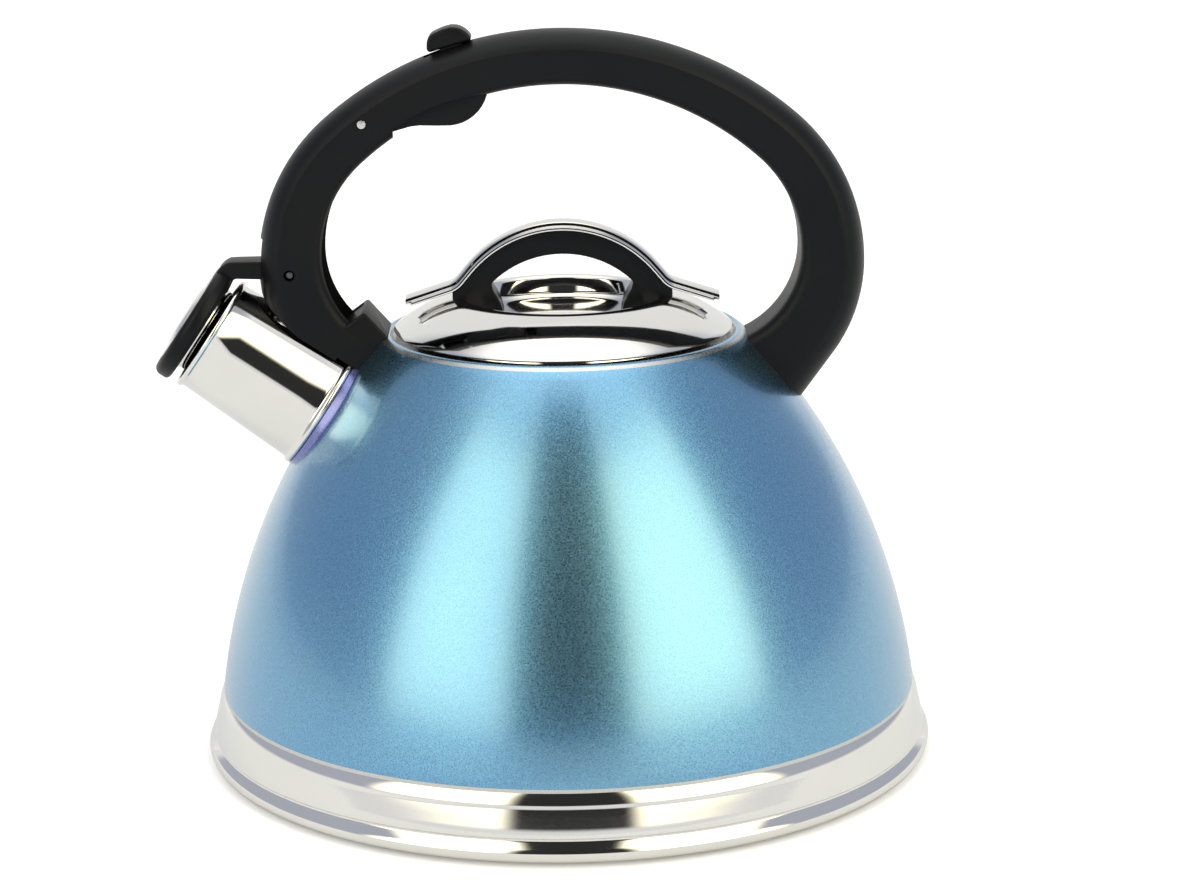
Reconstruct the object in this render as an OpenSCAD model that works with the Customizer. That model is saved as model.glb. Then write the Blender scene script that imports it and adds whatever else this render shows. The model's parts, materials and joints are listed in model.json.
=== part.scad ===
// Stovetop whistling kettle with a trigger-opened spout flap and a lift-off lid.
// Origin: centre of the base's resting face. +Z is up and the spout points to -X.

/* [Base] */
// Radius over the rolled bead at the foot
foot_r = 110; // [108:0.5:111]
// Height of the joint between the polished band and the dome
band_top = 21.4; // [20:0.2:23]
// Height of the pan's floor above the resting face
floor_z = 5.2; // [4:0.2:6]
// Radius of the base capsule
capsule_r = 97; // [90:1:99]

/* [Dome] */
// Radius of the dome where it meets the band
shoulder_r = 105; // [104:0.25:105.5]
// Radius of the arc that the dome's side follows
dome_arc_r = 190; // [186:1:194]
// Lean of the dome's side at the band, in degrees
dome_lean = 7.5; // [7:0.25:8]
// Where the side's arc ends at the lid seat, in degrees
neck_angle = 43.5; // [43:0.1:43.8]
// Thickness of the sheet steel
sheet = 0.8; // [0.6:0.1:1]
// Radius of the filling opening
mouth_r = 44; // [42:0.5:45]

/* [Lid] */
// Radius of the lid's rim
lid_r = 50.7; // [50:0.1:51]
// Radius of the crest around the dished middle
crest_r = 30; // [29:0.5:31]
// Height of the crest above the resting face
crest_z = 139; // [138:0.25:140]
// Depth of the dished middle
dish_depth = 6; // [5:0.5:7]
// How deep the locating ring reaches below the rim
skirt_depth = 8.4; // [6:0.2:9]

/* [Lid grip] */
// Radius of the grip's arch under the strap
grip_arch_r = 35; // [34:0.5:36]
// Height of the arch's top under the strap
grip_top = 159.2; // [158:0.2:160]
// Half angle of the arch, in degrees
grip_half_angle = 50; // [48:0.5:51]
// Width of the grip from front to back
grip_w = 11; // [9:0.5:13]
// Thickness of the steel strap
strap_t = 1.5; // [1:0.1:1.8]
// Width of the steel strap
strap_w = 14; // [12:0.5:16]
// How far each wing of the strap reaches from the middle
wing_x = 45.5; // [43:0.5:47]

/* [Spout] */
// Where the spout's axis starts, across
spout_root_x = -71.5; // [-71.9:0.1:-71.1]
// Where the spout's axis starts, up
spout_root_z = 105.6; // [105.2:0.1:106]
// Rise of the spout, in degrees
spout_angle = 34.5; // [33:0.25:36]
// Length of the spout tube
spout_len = 41.5; // [38:0.5:44]
// Outside radius of the tube at the root
tube_root_r = 19.3; // [18.8:0.1:19.5]
// Outside radius of the tube at its mouth
tube_mouth_r = 17.5; // [17:0.1:18]
// Thickness of the tube
tube_t = 0.7; // [0.6:0.1:0.9]

/* [Spout flap] */
// Radius of the flap
flap_r = 18.9; // [18.5:0.1:19.5]
// Thickness of the flap
flap_t = 5.4; // [5:0.1:6]
// Gap between the mouth and the flap
flap_gap = 2.3; // [1.5:0.1:3]
// Width of the flap's arm
arm_w = 10.2; // [9:0.2:11]
// Height of the arm's top face
arm_top = 150.8; // [150:0.2:151.5]
// Height of the arm's bottom face
arm_bottom = 145.8; // [145:0.2:146.5]
// Distance from the flap's pin to the tail pin
tail_len = 5.2; // [5:0.1:5.6]
// Rise of the tail above level, in degrees
tail_angle = 18; // [16:1:20]

/* [Handle] */
// Height of the handle's top
handle_top = 217.8; // [216:0.2:219]
// Thickness of the handle at its top
handle_t = 15.5; // [14.5:0.25:16.5]
// Depth of the handle from front to back
handle_d = 23; // [22:0.5:24]
// Radius of the outer edge over the top
outer_r1 = 107; // [106:0.5:108]
// Half angle of the outer edge's top arc
outer_a1 = 40.4; // [40:0.1:41]
// Radius of the outer edge at the shoulders
outer_r2 = 58.1; // [57:0.1:59]
// Radius of the outer edge down the legs
outer_r3 = 47; // [46:0.5:48]
// Radius of the inner edge over the top
inner_r1 = 87; // [86:0.5:88]
// Half angle of the inner edge's top arc
inner_a1 = 42.1; // [41.5:0.1:42.7]
// Radius of the inner edge at the shoulders
inner_r2 = 36.9; // [36:0.1:38]
// Radius of the inner edge down the legs
inner_r3 = 28.5; // [28:0.25:29]
// Width of the channel for the trigger and the rod
channel_w = 16.6; // [16:0.2:17]
// Wall left between the channel and the outer edge
channel_roof = 2.8; // [2.6:0.1:3]

/* [Trigger] */
// The trigger's pin, across
trigger_pin_x = -57.6; // [-57.8:0.1:-57.4]
// The trigger's pin, up
trigger_pin_z = 191.9; // [191.7:0.1:192.1]
// The rod's upper pin, across
rod_pin_x = -72; // [-72.2:0.1:-71.8]
// The rod's upper pin, up
rod_pin_z = 179.5; // [179.3:0.1:179.7]
// The flap's pin, across
cover_pin_x = -80.1; // [-80.3:0.1:-79.9]
// The flap's pin, up
cover_pin_z = 147.7; // [147.5:0.1:147.9]
// Radius of the trigger's pin
trigger_pin_r = 1.4; // [1.2:0.05:1.5]
// Radius of the flap's pin and the rod's two pins
small_pin_r = 1.2; // [1:0.05:1.3]
// Radial clearance of the parts that turn on pins
running_gap = 0.05; // [0.02:0.01:0.1]
// Radial play of the rod's lower eye on the tail pin
rod_play = 0.45; // [0.4:0.05:0.55]

/* [Hidden] */

lacquer = [0.25, 0.52, 0.66];
steel = [0.82, 0.82, 0.83];
nylon = [0.10, 0.10, 0.11];
alloy = [0.72, 0.73, 0.75];
brass = [0.80, 0.64, 0.32];
silicone = [0.86, 0.84, 0.80];

gap = 0.3;             // between parts that move past each other
far = 300;
round_fn = 96;
fine_fn = 360;         // for thin solids, whose volume a coarse circle would change

dome_c = [
    shoulder_r - dome_arc_r * cos(dome_lean),
    band_top - dome_arc_r * sin(dome_lean)
];
dome_steps = 20;
seat_z = 127.4;        // ledge under the lid's rim
seat_roll = [[53.3, 128.3], [52.2, 128.5], [51.4, 128.1]];
pan_overlap_z = 15;    // the dome's lower edge is hidden in the pan down to here
skirt_r = mouth_r - 0.6;
rim_z = seat_z + 1.8;
dish_z = crest_z - dish_depth;
lid_t = sheet;

left_foot_r = 57;      // where the screws of each foot stand on the dome
right_foot_r = 61.5;
screw_y = 5.5;         // the two screws of a foot stand this far from its middle
screw_play = 0.3;
insert_r = 3;
insert_len = 7;
screw_r = 2;
screw_head_r = 3.6;
seal_r = 3.4;
seal_gap = 0.02;        // left between a seal and the dome's inner face

bead_r = 2.9;
stub_flare_r = 28;
spout_root = [spout_root_x, spout_root_z];
flap_u = spout_len + flap_gap;
flap_v = 0.4;
mouth_in_r = tube_mouth_r - tube_t;
steam_passage_r = 9;
plate_r = 14;
plate_seat = 0.9;      // depth of the seats of the two whistle plates
whistle_hole_r = 2;
cheek_in = 3.6;        // the trigger's cheeks start this far from the middle plane
cheek_out = 6.2;
tail_in = 2.8;
rod_t = 3;
trigger_pin_at = [trigger_pin_x, trigger_pin_z];
cover_pin_at = [cover_pin_x, cover_pin_z];
rod_pin_top = [rod_pin_x, rod_pin_z];
tail_pin_at = cover_pin_at + tail_len * [cos(tail_angle), sin(tail_angle)];
hub_r = 4.2;
flap_hub_r = 3.6;
eye_r = 2.8;
trigger_w = channel_w - 0.8;
spring_pocket_r = 4.4;
tab_neck_w = 6;
tab_w = 9;
tab_slot = [-39.4, 203, 12, 6.6];        // left end, bottom, length and width
arm_window = [-93, 145.2, 10, 12.4];     // left end, bottom, length and height
channel_from = -0.865; // the open side of the left leg, as places along the handle
channel_to = -0.112;
channel_steps = 22;
collar_w = handle_d - 1.6;
coil_r = 2.6;
wire_r = 0.5;
coil_turns = 4;
coil_pitch = 1.35;

lid_screw_x = 23.4;
lid_screw_r = 1.9;
arch_c = [0, grip_top - grip_arch_r];
wing_slope = 18;
wing_fillet_r = 8;

// ---------- outlines ----------

function unit(v) = v / norm(v);
function left_of(v) = [-v.y, v.x];
function turn_between(a, b) = (b - a + 540) % 360 - 180;
function polar(c, r, a) = c + r * [cos(a), sin(a)];

// An arc of radius r from p to q. A positive r has its centre to the left of the way from p to q.
function arc(p, q, r, n = 8) =
    let (
        d = q - p,
        h = sqrt(r * r - norm(d) * norm(d) / 4),
        c = (p + q) / 2 + sign(r) * h * left_of(unit(d)),
        a = atan2(p.y - c.y, p.x - c.x),
        b = atan2(q.y - c.y, q.x - c.x)
    )
    [for (i = [0:n]) polar(c, abs(r), a + turn_between(a, b) * i / n)];

function dome_z(r) = dome_c.y + sqrt(pow(dome_arc_r, 2) - pow(r - dome_c.x, 2));
function dome_arc(inset, a0, a1) =
    [for (i = [0:dome_steps]) polar(dome_c, dome_arc_r - inset, a0 + (a1 - a0) * i / dome_steps)];

// One edge of the handle, as three arcs and a straight foot that follow on smoothly.
// Its angles are measured from +Z towards +X.
outer_edge = [handle_top, outer_r1, outer_a1, outer_r2, outer_r3, 126, 25];
inner_edge = [handle_top - handle_t, inner_r1, inner_a1, inner_r2, inner_r3, 158, 6];
function lean_dir(a) = [sin(a), cos(a)];
function arc_len(r, a) = r * a * PI / 180;
function arc_deg(r, s) = s / r * 180 / PI;
function edge_lengths(e) = [
    arc_len(e[1], e[2]),
    arc_len(e[3], 90 - e[2]),
    arc_len(e[4], e[5] - 90),
    e[6]
];
function edge_point(e, t) =
    let (
        l = edge_lengths(e),
        s = t * (l[0] + l[1] + l[2] + l[3]),
        c1 = [0, e[0] - e[1]],
        c2 = c1 + (e[1] - e[3]) * lean_dir(e[2]),
        c3 = c2 + (e[3] - e[4]) * lean_dir(90),
        end = c3 + e[4] * lean_dir(e[5])
    )
    s <= l[0] ? c1 + e[1] * lean_dir(arc_deg(e[1], s)) :
    s <= l[0] + l[1] ? c2 + e[3] * lean_dir(e[2] + arc_deg(e[3], s - l[0])) :
    s <= l[0] + l[1] + l[2] ? c3 + e[4] * lean_dir(90 + arc_deg(e[4], s - l[0] - l[1])) :
    end + (s - l[0] - l[1] - l[2]) * lean_dir(e[5] + 90);

// The handle's section at t, from -1 at the left foot to 1 at the right foot
function side_point(e, t) = let (p = edge_point(e, abs(t))) [t < 0 ? -p.x : p.x, p.y];
function across(t) = unit(side_point(outer_edge, t) - side_point(inner_edge, t));

section_n = 16;
section_power = 2.8;
handle_rings = 44;
function rounded(v) = sign(v) * pow(abs(v), 2 / section_power);
function handle_ring(t) =
    let (o = side_point(outer_edge, t), i = side_point(inner_edge, t))
    [for (k = [0:section_n - 1])
        let (
            a = 360 * k / section_n,
            p = (o + i) / 2 + (o - i) / 2 * rounded(cos(a))
        )
        [p.x, handle_d / 2 * rounded(sin(a)), p.y]];

// ---------- shared shapes ----------

module slab(outline, w) {
    translate([0, w / 2, 0]) rotate([90, 0, 0]) linear_extrude(height = w) polygon(outline);
}

module pin(at, r, w, y = 0) {
    translate([at.x, y + w / 2, at.y]) rotate([90, 0, 0]) cylinder(h = w, r = r, $fn = 48);
}

module mirrored_pair() {
    children();
    mirror([0, 1, 0]) children();
}

module lathe(outline, fn = round_fn) {
    rotate_extrude($fn = fn) polygon(outline);
}

module spout_frame() {
    translate([spout_root.x, 0, spout_root.y]) rotate([0, spout_angle - 90, 0]) children();
}

module foot_frame(side) {
    r = side < 0 ? left_foot_r : right_foot_r;
    tilt = acos((dome_z(r) - dome_c.y) / dome_arc_r);
    translate([side * r, 0, dome_z(r)]) rotate([0, side * tilt, 0]) children();
}

module at_each_foot_screw() {
    for (side = [-1, 1], y = [-screw_y, screw_y]) foot_frame(side) translate([0, y, 0]) children();
}

// The space that the dome and its lid seat fill, shrunk by inset
module dome_solid(inset = 0) {
    lathe(concat(
        [[0, band_top], [shoulder_r - inset, band_top]],
        dome_arc(inset, dome_lean, neck_angle),
        [[seat_roll[0].x, seat_roll[0].y - inset], [seat_roll[1].x, seat_roll[1].y - inset]],
        [[0, seat_roll[1].y - inset]]
    ), fine_fn);
}

stub_flare = arc([tube_root_r + 0.7, 0.4], [stub_flare_r, -5.6], 9, 8);

// The space that the spout and its flare fill, cut out of the handle's foot
module spout_solid() {
    lathe(concat(
        [[0, -9], [stub_flare_r, -9]],
        [for (i = [len(stub_flare) - 1:-1:0]) stub_flare[i]],
        [[tube_root_r + 1.3, 0.4], [tube_root_r + 1.3, 3], [tube_root_r + gap, 4]],
        [[tube_mouth_r + gap, spout_len], [0, spout_len]]
    ), fine_fn);
}

// ---------- base ----------

module base_pan() {
    bead_c = [foot_r - bead_r, bead_r + 1];
    color(steel) lathe(concat(
        [[0, floor_z], [100, floor_z], [104, 3]],
        [for (i = [0:10]) polar(bead_c, bead_r, -130 + 19.5 * i)],
        [[108.4, 8], [107.6, 12], [106.6, 16.4], [106.3, band_top - 1.6]],
        arc([106.1, band_top - 0.8], [105.3, band_top + 0.1], 1, 4),
        [[105.05, band_top - 0.5], [105.2, 15], [106.7, 10.5], [106.3, 8.6], [100.4, floor_z + sheet]],
        [[0, floor_z + sheet]]
    ));
}

module heat_disc() {
    color(alloy) translate([0, 0, sheet]) cylinder(h = floor_z - sheet, r = capsule_r - 1, $fn = round_fn);
}

module base_cap() {
    color(steel) lathe([
        [0, 0], [capsule_r - 1.2, 0], [capsule_r, 1.2], [capsule_r, floor_z],
        [capsule_r - sheet, floor_z], [capsule_r - sheet, sheet], [0, sheet]
    ]);
}

// ---------- dome and spout ----------

module body_shell() {
    color(lacquer) difference() {
        lathe(concat(
            [[shoulder_r, pan_overlap_z]],
            dome_arc(0, dome_lean, neck_angle),
            seat_roll,
            [[50.6, seat_z], [mouth_r + 1, seat_z], [mouth_r, seat_z - 1], [mouth_r, 121.5]],
            [[mouth_r + sheet, 121.5], [mouth_r + sheet, seat_z - 1.3]],
            [[mouth_r + 1.3, seat_z - sheet], [51.2, seat_z - sheet], [52.2, 126.9]],
            dome_arc(sheet, neck_angle, dome_lean),
            [[shoulder_r - sheet, pan_overlap_z]]
        ));
        spout_frame() translate([0, 0, -15]) cylinder(h = 30, r = tube_root_r - tube_t, $fn = round_fn);
        at_each_foot_screw() translate([0, 0, -5]) cylinder(h = 10, r = screw_r + screw_play, $fn = 32);
    }
}

module spout_stub() {
    color(lacquer) difference() {
        spout_frame() lathe(concat(
            [[tube_root_r - tube_t, 0.4]],
            stub_flare,
            [[stub_flare_r, -9], [tube_root_r - tube_t, -9]]
        ), fine_fn);
        dome_solid();
    }
}

module spout_tube() {
    color(steel) spout_frame() lathe(concat(
        [[tube_root_r - tube_t, 0.4], [tube_root_r, 0.4]],
        arc([tube_root_r + 0.3, 0.4], [tube_root_r + 0.2, 2.4], 1.05, 6),
        [[tube_root_r - 0.2, 2.9], [tube_mouth_r, spout_len - 1.4]],
        arc([tube_mouth_r + 0.1, spout_len - 1.3], [tube_mouth_r, spout_len], 0.66, 6),
        [[mouth_in_r + 0.1, spout_len], [mouth_in_r, spout_len - 0.6], [tube_root_r - tube_t - 0.2, 2.9]]
    ));
}

// ---------- handle ----------

module handle_bar() {
    rings = [for (j = [0:handle_rings]) handle_ring(2 * j / handle_rings - 1)];
    n = section_n;
    polyhedron(
        points = [for (ring = rings) each ring],
        faces = concat(
            [[for (k = [0:n - 1]) n - 1 - k]],
            [for (j = [0:handle_rings - 1], k = [0:n - 1]) [
                j * n + k, j * n + (k + 1) % n,
                (j + 1) * n + (k + 1) % n, (j + 1) * n + k
            ]],
            [[for (k = [0:n - 1]) handle_rings * n + k]]
        )
    );
}

// The open side of the left leg, from the end of the trigger's pad down to the collar
module channel() {
    ts = [for (i = [0:channel_steps]) channel_from + (channel_to - channel_from) * i / channel_steps];
    slab(concat(
        [for (t = ts) side_point(outer_edge, t) - channel_roof * across(t)],
        [for (i = [channel_steps:-1:0]) side_point(inner_edge, ts[i]) - 4 * across(ts[i])]
    ), channel_w);
}

module handle() {
    collar = [[-64, 132.4], [-58.5, 136.3], [-51.6, 128.5], [-50, 124], [-60, 116], [-70, 126]];
    color(nylon) difference() {
        union() {
            handle_bar();
            slab(collar, collar_w);
        }
        dome_solid();
        spout_frame() spout_solid();
        channel();
        // slot in the roof for the thumb tab's neck
        translate([tab_slot[0], -tab_slot[3] / 2, tab_slot[1]]) cube([tab_slot[2], tab_slot[3], 16]);
        // window in the outer wall for the flap's arm
        translate([arm_window[0], -arm_w / 2 - gap, arm_window[1]])
            cube([arm_window[2], arm_w + 2 * gap, arm_window[3]]);
        pin(trigger_pin_at, trigger_pin_r, far);
        pin(cover_pin_at, small_pin_r, far);
        at_each_foot_screw() translate([0, 0, -3]) cylinder(h = insert_len + 3, r = insert_r, $fn = 48);
    }
}

module foot_inserts() {
    color(brass) at_each_foot_screw() translate([0, 0, 0.4]) difference() {
        cylinder(h = insert_len - 0.4, r = insert_r, $fn = 48);
        translate([0, 0, -1]) cylinder(h = insert_len - 0.8, r = screw_r, $fn = 32);
    }
}

module handle_screws() {
    color(steel) at_each_foot_screw() union() {
        translate([0, 0, -2.2]) cylinder(h = 7, r = screw_r, $fn = 32);
        translate([0, 0, -4.4]) cylinder(h = 2.4, r = screw_head_r, $fn = 48);
    }
}

// Each seal is moulded to the dome's curve on its upper face
module screw_seals() {
    color(silicone) intersection() {
        at_each_foot_screw() difference() {
            translate([0, 0, -2]) cylinder(h = 2, r = seal_r, $fn = 48);
            translate([0, 0, -3]) cylinder(h = 4, r = screw_r, $fn = 32);
        }
        dome_solid(sheet + seal_gap);
    }
}

module trigger_pin() {
    color(steel) pin(trigger_pin_at, trigger_pin_r, handle_d - 0.4);
}

module cover_pin() {
    color(steel) pin(cover_pin_at, small_pin_r, handle_d - 2);
}

// ---------- trigger, rod and spring ----------

module cheeks(w_in, w_out) {
    mirrored_pair() translate([0, (w_in + w_out) / 2, 0]) children();
}

module trigger() {
    p = trigger_pin_at;
    a = rod_pin_top;
    along = unit(a - p);
    side = left_of(along) * 2.4;
    pad = concat(
        [[-57.6, 187.9], [-54.1, 187.7], [-46.9, 189.7]],
        [[-40.9, 190.9], [-34, 190.8]],
        arc([-32, 191], [-21, 199.5], 12, 5),
        [[-20.7, 201.2], [-21.6, 202.2], [-24, 202.4]],
        [[-35, 201.2], [-45, 197.8], [-54, 195], [-57.6, 194.2]]
    );
    neck = [[-34.6, 198], [-28.2, 198], [-28.2, 214.4], [-34.6, 212.4]];
    tab = concat(
        [[-37.6, 211.5], [-25.2, 215.3]],
        arc([-26.2, 216.4], [-31, 219], 6, 4),
        [[-33.7, 218.3]],
        arc([-36.6, 216.8], [-38.3, 214.2], 3, 3)
    );
    color(nylon) difference() {
        union() {
            slab(pad, trigger_w);
            pin(p, hub_r, trigger_w);
            slab(neck, tab_neck_w);
            slab(tab, tab_w);
            cheeks(cheek_in, cheek_out) {
                slab([p + side, a + side, a - side, p - side], cheek_out - cheek_in);
                pin(a, eye_r, cheek_out - cheek_in);
            }
        }
        pin(p, spring_pocket_r, 2 * cheek_in);
        pin(p, trigger_pin_r + running_gap, far);
        pin(a, small_pin_r, far);
    }
}

module link_pin() {
    color(steel) pin(rod_pin_top, small_pin_r, 2 * cheek_out);
}

module link_rod() {
    a = rod_pin_top;
    b = tail_pin_at;
    half = left_of(unit(b - a)) * 1.8;
    color(steel) difference() {
        union() {
            slab([a + half, b + half, b - half, a - half], rod_t);
            pin(a, eye_r, 2 * cheek_in - 2 * gap);
            pin(b, eye_r, 2 * tail_in - 2 * gap);
        }
        pin(a, small_pin_r + running_gap, far);
        pin(b, small_pin_r + rod_play, far);
    }
}

// Torsion spring around the trigger's pin. One leg lies along the handle's roof, the other
// presses on the top of the pad.
module trigger_spring() {
    n = 8;
    leg = [7.5, 9];
    a0 = 122;
    a1 = a0 - 360 * coil_turns - 14.7;
    steps = 12 * coil_turns;
    y0 = -coil_pitch * coil_turns / 2;
    way = [[sin(a0), -cos(a0)], [sin(a1), -cos(a1)]];
    coil = [for (i = [0:steps])
        let (a = a0 + (a1 - a0) * i / steps)
        [trigger_pin_at + coil_r * [cos(a), sin(a)], y0 + coil_pitch * coil_turns * i / steps, a]];
    path = concat(
        [[coil[0][0] - leg[0] * way[0], coil[0][1], a0]],
        coil,
        [[coil[steps][0] + leg[1] * way[1], coil[steps][1], a1]]
    );
    points = [for (c = path, k = [0:n - 1])
        let (
            w = 360 * k / n,
            p = c[0] + wire_r * cos(w) * [cos(c[2]), sin(c[2])]
        )
        [p.x, c[1] + wire_r * sin(w), p.y]];
    last = len(path) - 1;
    color(steel) polyhedron(
        points = points,
        faces = concat(
            [[for (k = [0:n - 1]) k]],
            [for (j = [0:last - 1], k = [0:n - 1]) [
                j * n + k, (j + 1) * n + k,
                (j + 1) * n + (k + 1) % n, j * n + (k + 1) % n
            ]],
            [[for (k = [0:n - 1]) last * n + n - 1 - k]]
        )
    );
}

// ---------- spout flap ----------

module spout_cover() {
    c = cover_pin_at;
    b = tail_pin_at;
    side = left_of(unit(b - c)) * 2.6;
    color(nylon) difference() {
        union() {
            spout_frame() translate([flap_v, 0, flap_u]) lathe(concat(
                [[0, 0], [flap_r - 1.6, 0]],
                arc([flap_r - 1.2, 0.2], [flap_r, 1.8], 2.2, 3),
                arc([flap_r, flap_t - 2.2], [flap_r - 2.2, flap_t], 2.2, 4),
                [[0, flap_t]]
            ));
            slab(concat(
                [[-97.2, arm_bottom], [c.x, arm_bottom - 0.6], [c.x, arm_top + 0.2], [-97.5, arm_top]],
                arc([-99.2, 150.4], [-102, 147.5], 6, 3),
                [[-103, 144], [-99, 141.5]]
            ), arm_w);
            pin(c, flap_hub_r, arm_w);
            slab([c + side, b + side, b - side, c - side], arm_w);
            pin(b, eye_r - 0.2, arm_w);
        }
        // fork for the rod
        pin(c, flap_hub_r + 0.4, 2 * tail_in);
        slab([[b.x - 3.6, b.y - 6], [b.x + 4, b.y - 6], [b.x + 4, b.y + 6], [b.x - 3.6, b.y + 6]], 2 * tail_in);
        pin(c, small_pin_r + running_gap, far);
        pin(b, small_pin_r, far);
        // steam passage and the seats of the two whistle plates
        spout_frame() translate([flap_v, 0, flap_u]) {
            translate([0, 0, -1]) cylinder(h = flap_t + 2, r = steam_passage_r, $fn = 64);
            translate([0, 0, flap_t - plate_seat]) cylinder(h = 2, r = plate_r, $fn = 64);
            translate([0, 0, -1]) cylinder(h = 1 + sheet, r = plate_r, $fn = 64);
        }
    }
}

module tail_pin() {
    color(steel) pin(tail_pin_at, small_pin_r, arm_w);
}

module whistle_outer_plate() {
    crown = 1.9;
    color(steel) spout_frame() translate([flap_v, 0, flap_u + flap_t - plate_seat]) difference() {
        lathe(concat([[0, 0], [plate_r, 0], [plate_r, 0.8]], arc([plate_r - 1, 1], [0, crown], 94, 6)));
        translate([0, 0, -1]) cylinder(h = 5, r = whistle_hole_r, $fn = 32);
    }
}

module whistle_inner_plate() {
    cup_r = mouth_in_r - 1.9;
    color(steel) spout_frame() translate([0, 0, flap_u]) difference() {
        lathe([
            [0, -2.9], [cup_r - 2.2, -2.9], [cup_r - 1.6, -2.5], [cup_r - 1.1, 0], [13.5, 0.2], [13.5, 0.8],
            [cup_r - 2, 0.8], [cup_r - 2.6, -2.2], [0, -2.2]
        ]);
        translate([0, 0, -5]) cylinder(h = 8, r = whistle_hole_r, $fn = 32);
    }
}

// ---------- lid ----------

lid_top = concat(
    arc([lid_r - 0.3, rim_z], [crest_r + 1.6, crest_z - 0.15], 48, 10),
    arc([crest_r + 0.6, crest_z], [crest_r - 1.4, crest_z - 1], 2.4, 4),
    arc([crest_r - 2, dish_z + 1.4], [crest_r - 3.6, dish_z], -1.7, 3)
);
lid_under = concat(
    arc([lid_r - 1.5, rim_z], [crest_r + 1.5, crest_z - 0.15 - lid_t], 48, 10),
    arc([crest_r + 0.5, crest_z - lid_t], [crest_r - 0.8, crest_z - 1.4], 1.6, 3),
    [[crest_r - 1.2, dish_z + 0.2], [crest_r - 2.2, dish_z - lid_t]]
);
function reversed(v) = [for (i = [len(v) - 1:-1:0]) v[i]];

module lid_solid() {
    lathe(concat([[0, 110], [lid_r - 0.3, 110]], lid_top, [[0, dish_z]]));
}

module lid_shell() {
    color(steel) difference() {
        lathe(concat(lid_top, [[0, dish_z], [0, dish_z - lid_t]], reversed(lid_under)));
        for (x = [-lid_screw_x, lid_screw_x]) {
            translate([x, 0, dish_z - 5]) cylinder(h = 10, r = lid_screw_r + 0.2, $fn = 32);
        }
    }
}

module lid_skirt() {
    color(steel) intersection() {
        lathe([
            [skirt_r - sheet, rim_z - skirt_depth], [skirt_r, rim_z - skirt_depth],
            [skirt_r, 140], [skirt_r - sheet, 140]
        ]);
        lathe(concat([[0, 110], [lid_r - 1.5, 110]], lid_under, [[0, dish_z - lid_t]]));
    }
}

arch_end = arch_c + grip_arch_r * lean_dir(grip_half_angle);
bend_start = arch_end + 4 * [cos(grip_half_angle), -sin(grip_half_angle)];
bend_end = bend_start + wing_fillet_r * [
    sin(grip_half_angle) - sin(wing_slope),
    cos(grip_half_angle) - cos(wing_slope)
];
wing_end = bend_end + (wing_x - bend_end.x) * [1, -tan(wing_slope)];
half_strap = concat(
    [for (i = [0:10]) arch_c + grip_arch_r * lean_dir(grip_half_angle * i / 10)],
    arc(bend_start, bend_end, wing_fillet_r, 5),
    [wing_end]
);
function flip(v) = [-v.x, v.y];
function strap_edge(d) = [for (i = [0:len(half_strap) - 1])
    let (
        before = half_strap[max(i - 1, 0)],
        after = half_strap[min(i + 1, len(half_strap) - 1)],
        out = i == 0 ? [0, 1] : left_of(unit(after - before))
    )
    half_strap[i] + d * out];

module lid_grip() {
    // the inner arch and the two feet, from the middle out
    inner_r = 30;
    inner_c = [0, 151.9 - inner_r];
    half = concat(
        [for (i = [0:8]) inner_c + inner_r * lean_dir(42 * i / 8)],
        [[21.2, 143.2], [20.6, 141.4], [18.2, 137.5], [17.2, 133], [17.2, 128], [32, 128], [32.6, 139.4]]
    );
    top = [for (i = [0:len(half_strap) - 2]) if (half_strap[i].x < 32.4) half_strap[i]];
    right = concat(half, reversed(top));
    color(nylon) difference() {
        slab(concat(right, [for (p = reversed(right)) if (p.x > 0.01) flip(p)]), grip_w);
        lid_solid();
        for (x = [-lid_screw_x, lid_screw_x]) {
            translate([x, 0, 120]) cylinder(h = dish_z + 7 - 120, r = lid_screw_r, $fn = 32);
        }
    }
}

module lid_strap() {
    low = strap_edge(0);
    high = strap_edge(strap_t);
    color(steel) slab(concat(
        [for (p = reversed(low)) flip(p)],
        [for (p = low) if (p.x > 0.01) p],
        reversed(high),
        [for (p = high) if (p.x > 0.01) flip(p)]
    ), strap_w);
}

module lid_screws() {
    under = dish_z - lid_t - 0.8;
    color(steel) for (x = [-lid_screw_x, lid_screw_x]) translate([x, 0, 0]) union() {
        translate([0, 0, under - 1]) cylinder(h = dish_z + 6 - under, r = lid_screw_r, $fn = 32);
        translate([0, 0, under - 2.2]) cylinder(h = 2.2, r = 3.4, $fn = 48);
    }
}

module lid_washers() {
    color(steel) for (x = [-lid_screw_x, lid_screw_x]) translate([x, 0, dish_z - lid_t - 0.8]) difference() {
        cylinder(h = 0.8, r = 4, $fn = 48);
        translate([0, 0, -1]) cylinder(h = 3, r = lid_screw_r, $fn = 32);
    }
}

base_pan();
heat_disc();
base_cap();
body_shell();
spout_stub();
spout_tube();
handle();
foot_inserts();
handle_screws();
screw_seals();
trigger_pin();
cover_pin();
trigger_spring();
trigger();
link_pin();
link_rod();
spout_cover();
tail_pin();
whistle_outer_plate();
whistle_inner_plate();
lid_shell();
lid_skirt();
lid_grip();
lid_strap();
lid_screws();
lid_washers();
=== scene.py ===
import bmesh
import bpy
import json
import math
from mathutils import Matrix, Vector


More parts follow.
